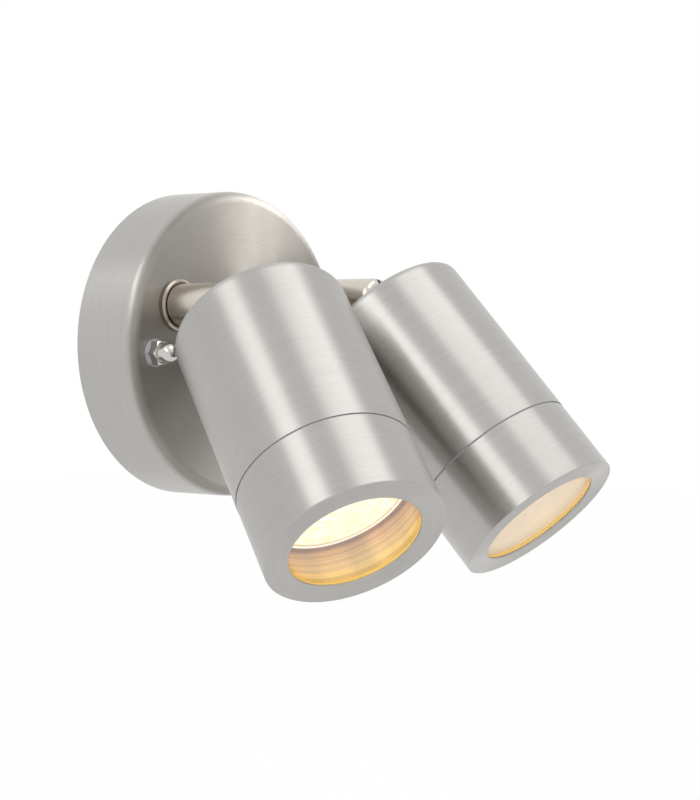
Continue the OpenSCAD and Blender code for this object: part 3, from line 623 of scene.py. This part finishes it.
def glaze(material, colour, light=None):
    """Adds a glossy surface with a faint unevenness under it, and any light that comes through it."""
    place = add(material, "TexCoord").outputs["Object"]
    waves = add(
        material, "TexNoise", {"Vector": place, "Scale": 1 / (GLAZE_WAVES * MM), "Detail": 2}
    ).outputs[0]
    bump = add(material, "Bump", {"Height": waves, "Distance": GLAZE_DEPTH * MM, "Strength": 1}).outputs[0]
    tone = add(
        material, "Mix", {"Factor": waves, "A": darker(colour, 0.93), "B": linear(colour)}, data_type="RGBA"
    ).outputs["Result"]
    surface = {
        "Base Color": tone,
        "Roughness": 0.3,
        "IOR": 1.55,
        "Coat Weight": 0.5,
        "Coat Roughness": 0.08,
        "Normal": bump,
    }
    return add(material, "BsdfPrincipled", surface | (light or {}))


def glazed_ceramic(name, colour):
    """Glazed ceramic: glossy and slightly creamy, with a soft edge to its highlights."""
    material = start_material(name)
    return end_material(material, glaze(material, colour))


ceramic = glazed_ceramic("glazed_white_ceramic", CERAMIC)

for side in SIDES:
    finish_node(f"{side}_lampholder", ceramic)
    finish_node(f"{side}_holder_bracket", zinc)
    finish_node(f"{side}_holder_screws", zinc)

# Lamps: 50 mm reflector lamps with a shell of pressed glass, a ceramic base with two pins and a lens that
# is lit from behind. The lens is mottled in white and yellow, and amber at its edge.

SHELL_GLASS = "#e9e4d8"
LENS_WHITE = "#fffdf8"
LENS_YELLOW = "#fae8b8"
LENS_AMBER = "#8d6a3f"
LENS_LIGHT = 1.0
LENS_RADIUS = 24
AMBER_BAND = 1.2
LENS_DIMPLES = 2.4
LENS_RELIEF = 0.25
LENS_RINGS = 3.2
LENS_RING_SHARE = 0.25
LENS_MOTTLE_SHARE = 0.7
LIT_RIM = 1


def lit_lens(name, centre, axis):
    """Pressed lens with the lamp on: a mottle of white and pale yellow light over its dimples and rings."""
    material = start_material(name)
    ring = ring_coordinates(material, centre, axis)
    place = add(material, "TexCoord").outputs["Object"]
    dimples = add(
        material, "TexVoronoi", {"Vector": place, "Scale": 1 / (LENS_DIMPLES * MM)}
    ).outputs["Distance"]
    blots = add(
        material, "TexNoise", {"Vector": place, "Scale": 1 / (2 * LENS_DIMPLES * MM), "Detail": 2}
    ).outputs[0]
    ripple = add(
        material, "Math", {0: ring["radius"], 1: math.tau / (LENS_RINGS * MM)}, operation="MULTIPLY"
    ).outputs[0]
    rings = add(material, "Math", {0: ripple}, operation="SINE").outputs[0]
    relief = add(
        material, "Math", {0: rings, 1: LENS_RING_SHARE, 2: dimples}, operation="MULTIPLY_ADD"
    ).outputs[0]
    bump = add(material, "Bump", {"Height": relief, "Distance": LENS_RELIEF * MM, "Strength": 1}).outputs[0]
    mottled = add(
        material, "Math", {0: blots, 1: LENS_MOTTLE_SHARE, 2: relief}, operation="MULTIPLY_ADD"
    ).outputs[0]
    share = add(material, "MapRange", {"Value": mottled, "From Min": 0.45, "From Max": 1.1}).outputs[0]
    middle = add(
        material,
        "Mix",
        {"Factor": share, "A": linear(LENS_WHITE), "B": linear(LENS_YELLOW)},
        data_type="RGBA",
    ).outputs["Result"]
    rim = add(
        material,
        "MapRange",
        {
            "Value": ring["radius"],
            "From Min": (LENS_RADIUS - AMBER_BAND) * MM,
            "From Max": LENS_RADIUS * MM,
        },
    ).outputs[0]
    glow = add(
        material, "Mix", {"Factor": rim, "A": middle, "B": linear(LENS_AMBER)}, data_type="RGBA"
    ).outputs["Result"]
    shader = add(
        material,
        "BsdfPrincipled",
        {
            "Base Color": linear(SHELL_GLASS),
            "Roughness": 0.2,
            "IOR": 1.5,
            "Emission Color": glow,
            "Emission Strength": LENS_LIGHT,
            "Normal": bump,
        },
    )
    return end_material(material, shader)


def lamp_shell(name, centre, axis, rim):
    """Pressed glass shell: glossy and creamy, with a rim that carries the lamp's light round the lens."""
    material = start_material(name)
    ring = ring_coordinates(material, centre, axis)
    lit = add(
        material,
        "MapRange",
        {"Value": ring["height"], "From Min": (rim - LIT_RIM) * MM, "From Max": rim * MM},
    ).outputs[0]
    light = {"Emission Color": linear(LENS_WHITE), "Emission Strength": lit}
    return end_material(material, glaze(material, SHELL_GLASS, light))


for side in SIDES:
    at = head_at[side]
    axis = head_axis[side]
    finish_node(f"{side}_lamp_body", lamp_shell(f"pressed_lamp_shell_{side}", at, axis, lamp_rim[side]))
    finish_node(f"{side}_lamp_base", ceramic)
    finish_node(f"{side}_lamp_lens", lit_lens(f"lit_pressed_lens_{side}", at, axis))

# Front glasses: flat discs of clear soda-lime glass, each in a gasket of clear silicone that grips its edge
# and has the lamp's warm light painted on it, as a yellow colour and a glow. The gasket's thin front lip
# seals behind the lip of the ring.

GLASS_TINT = "#f6fbf9"
DUST_FILM = "#fcebd3"
DUST_PATCHES = 4
# How far the glass turns from the eye, from 0 to 1, where the film starts to show and where it is full.
FILM_FROM = 0.42
FILM_FULL = 0.6
FILM_LEAST = 0.612
FILM_MOST = 0.72
# The gasket's yellow and its glow are painted lamplight.
SILICONE_PAINTED_LAMPLIGHT = "#f0cf7c"
SILICONE_PAINTED_GLOW = "#f7c65c"
SILICONE_CLOUDS = 3


def clear_glass(name):
    """Clear float glass, with a film of fine dust that only shows where the glass is seen at a low angle."""
    material = start_material(name)
    place = add(material, "TexCoord").outputs["Object"]
    dust = add(
        material, "TexNoise", {"Vector": place, "Scale": 1 / (DUST_PATCHES * MM), "Detail": 3}
    ).outputs[0]
    film = add(material, "MapRange", {"Value": dust, "To Min": FILM_LEAST, "To Max": FILM_MOST}).outputs[0]
    shader = add(
        material,
        "BsdfPrincipled",
        {"Base Color": linear(GLASS_TINT), "Roughness": 0, "IOR": 1.52, "Transmission Weight": 1},
    )
    facing = add(material, "LayerWeight").outputs["Facing"]
    low = add(
        material,
        "MapRange",
        {"Value": facing, "From Min": FILM_FROM, "From Max": FILM_FULL, "To Max": film},
        interpolation_type="SMOOTHSTEP",
    ).outputs[0]
    bloom = add(material, "BsdfDiffuse", {"Color": linear(DUST_FILM)}).outputs[0]
    return end_material(material, add(material, "MixShader", {0: low, 1: shader.outputs[0], 2: bloom}))


def clear_silicone(name):
    """Soft clear silicone: cloudy, with a painted yellow colour and glow that stand in for the lamp's light
    through it.
    """
    material = start_material(name)
    place = add(material, "TexCoord").outputs["Object"]
    haze = add(
        material, "TexNoise", {"Vector": place, "Scale": 1 / (SILICONE_CLOUDS * MM), "Detail": 2}
    ).outputs[0]
    # Painted light: the glow stands in for the lamp's light coming through the gasket.
    glow = add(material, "MapRange", {"Value": haze, "To Min": 0.3, "To Max": 0.5}).outputs[0]
    shader = add(
        material,
        "BsdfPrincipled",
        {
            "Base Color": linear(SILICONE_PAINTED_LAMPLIGHT),
            "Roughness": 0.35,
            "IOR": 1.41,
            "Emission Color": linear(SILICONE_PAINTED_GLOW),
            "Emission Strength": glow,
        },
    )
    return end_material(material, shader)


# The front lip is too thin for a CAD solid. It reaches in to this radius, where the photo shows its edge.
LIP_RADIUS = 22.2
LIP_TIP = 0.5
LIP_TAPER = 1
GASKET_PLAY = 0.05
STEPS_ROUND = 128


def gasket_outline(seat, pane):
    """Cross-section of the gasket, as radii and heights in mm. It fills its seat round the pane of glass, and
    its front lip reaches in to a thin tip."""
    groove_back = pane["back"] - GASKET_PLAY
    groove_front = pane["front"] + GASKET_PLAY
    groove_radius = pane["radius"] + GASKET_PLAY
    lip_middle = (groove_front + seat["front"]) / 2
    return [
        (seat["radius"], seat["back"]),
        (seat["radius"], seat["front"]),
        (LIP_RADIUS + LIP_TAPER, seat["front"]),
        (LIP_RADIUS, lip_middle + LIP_TIP / 2),
        (LIP_RADIUS, lip_middle - LIP_TIP / 2),
        (LIP_RADIUS + LIP_TAPER, groove_front),
        (groove_radius, groove_front),
        (groove_radius, groove_back),
        (seat["bore"], groove_back),
        (seat["bore"], seat["back"]),
    ]


def turned(centre, axis, outline):
    """Mesh of a closed outline that is turned all the way round an axis."""
    shape = bmesh.new()
    loops = []
    for step in range(STEPS_ROUND):
        loops.append(loop_at(shape, centre, axis, math.tau * step / STEPS_ROUND, outline))
    for step, here in enumerate(loops):
        skin(shape, here, loops[(step + 1) % STEPS_ROUND], smooth=True)
    bmesh.ops.recalc_face_normals(shape, faces=shape.faces)
    return shape


glass = clear_glass("clear_float_glass")
silicone = clear_silicone("clear_silicone_gasket")

for side in SIDES:
    at = head_at[side]
    axis = head_axis[side]
    finish_node(f"{side}_glass", glass)
    outline = gasket_outline(reach(f"{side}_glass_gasket", at, axis), reach(f"{side}_glass", at, axis))
    gasket = make_piece(f"{side}_gasket_with_lips", turned(at, axis, outline), silicone)
    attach(gasket, f"{side}_glass_pack")
    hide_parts(f"{side}_glass_gasket")

# Studio: a pale floor under the light, soft boxes and a white surround that metal and glass show too. The
# box above doesn't light the plate, and one lamp lights the plate alone, which draws the bright sweep
# across its face without bleaching its rolled edge.

FLOOR_BELOW = 120
FLOOR_SIZE = 2400
STUDIO_WHITE = "#ffffff"
# This share of the floor shows as plain white, and the rest takes light and shadow.
FLOOR_GLOW = 0.95
# The surround lights the object at this level, and is plain white where it is seen or mirrored.
SURROUND = 0.75
AIM = Vector((0, -80, -10)) * MM


def seen_or_mirrored(material):
    """1 for a ray that shows the background itself, or shows it in metal or through glass."""
    path = add(material, "LightPath").outputs
    direct = add(
        material, "Math", {0: path["Is Camera Ray"], 1: path["Is Glossy Ray"]}, operation="MAXIMUM"
    ).outputs[0]
    return add(
        material, "Math", {0: direct, 1: path["Is Transmission Ray"]}, operation="MAXIMUM"
    ).outputs[0]


def floor_paint(name):
    """Matt white paint that shows nearly plain white, and keeps a little of the object's shadow."""
    material = start_material(name)
    matt = add(material, "BsdfDiffuse", {"Color": linear(STUDIO_WHITE)}).outputs[0]
    white = add(material, "Emission", {"Color": linear(STUDIO_WHITE), "Strength": 1}).outputs[0]
    share = add(
        material, "Math", {0: seen_or_mirrored(material), 1: FLOOR_GLOW}, operation="MULTIPLY"
    ).outputs[0]
    return end_material(material, add(material, "MixShader", {0: share, 1: matt, 2: white}))


def soft_lamp(name, azimuth, elevation, distance, width, length, radiance, turn=0):
    """A soft box: a rectangle of even light that faces the object. Its place and its turn on its own axis
    are in degrees, and its distance and sides in mm."""
    lamp = bpy.data.lights.new(name, "AREA")
    lamp.shape = "RECTANGLE"
    lamp.size = width * MM
    lamp.size_y = length * MM
    lamp.energy = radiance * math.pi * width * MM * length * MM
    holder = bpy.data.objects.new(name, lamp)
    bpy.context.scene.collection.objects.link(holder)
    aside = math.radians(azimuth)
    up = math.radians(elevation)
    out = Vector((math.sin(aside) * math.cos(up), -math.cos(aside) * math.cos(up), math.sin(up)))
    facing = out.to_track_quat("Z", "Y").to_matrix().to_4x4()
    turned_by = Matrix.Rotation(math.radians(turn), 4, "Z")
    holder.matrix_world = Matrix.Translation(AIM + out * distance * MM) @ facing @ turned_by
    return holder


floor_shape = bmesh.new()
bmesh.ops.create_grid(floor_shape, x_segments=1, y_segments=1, size=FLOOR_SIZE / 2 * MM)
floor = make_piece("studio_floor", floor_shape, floor_paint("white_studio_floor"))
floor.location.z = cad_box[0][2] - FLOOR_BELOW * MM

world = bpy.data.worlds.new("white_surround")
bpy.context.scene.world = world
world.use_nodes = True
world.node_tree.nodes.clear()
level = add(world, "MapRange", {"Value": seen_or_mirrored(world), "To Min": SURROUND, "To Max": 1}).outputs[0]
surround = add(world, "Background", {"Color": linear(STUDIO_WHITE), "Strength": level})
add(world, "OutputWorld", {"Surface": surround.outputs[0]})

box_above = soft_lamp(
    "soft_box_above", azimuth=14, elevation=66, distance=1200, width=1000, length=500, radiance=1.8
)
soft_lamp(
    "soft_box_left", azimuth=-92, elevation=38, distance=1300, width=1250, length=500, radiance=1.55, turn=-35
)
plate_lamp = soft_lamp(
    "soft_box_on_plate", azimuth=68, elevation=23, distance=1200, width=650, length=500, radiance=7.0
)

shaded_from_it = bpy.data.collections.new("shaded_from_box_above")
shaded_from_it.objects.link(frame["nodes"]["canopy"])
shaded_from_it.collection_objects[0].light_linking.link_state = "EXCLUDE"
box_above.light_linking.receiver_collection = shaded_from_it
lit_by_it = bpy.data.collections.new("lit_by_plate_lamp")
lit_by_it.objects.link(frame["nodes"]["canopy"])
plate_lamp.light_linking.receiver_collection = lit_by_it

# Camera: nearly level with the light and to its left, as in the photograph. Its place and angles were
# worked out from the outlines of the plate and the heads there.

CAMERA_AT = Vector((-547.92, -530.37, 25.90)) * MM
CAMERA_YAW = -50.419
CAMERA_PITCH = 3.633
CAMERA_ROLL = -1.486
CAMERA_LENS = 92.51
CAMERA_SENSOR = 36
NEAREST_SEEN = 10

camera = bpy.data.objects.new("camera", bpy.data.cameras.new("camera"))
bpy.context.scene.collection.objects.link(camera)
camera.data.lens = CAMERA_LENS
camera.data.sensor_width = CAMERA_SENSOR
camera.data.clip_start = NEAREST_SEEN * MM
camera.matrix_world = (
    Matrix.Translation(CAMERA_AT)
    @ Matrix.Rotation(math.radians(CAMERA_YAW), 4, "Z")
    @ Matrix.Rotation(math.radians(90 - CAMERA_PITCH), 4, "X")
    @ Matrix.Rotation(math.radians(CAMERA_ROLL), 4, "Z")
)
bpy.context.scene.camera = camera
bpy.context.scene.view_settings.view_transform = "Standard"
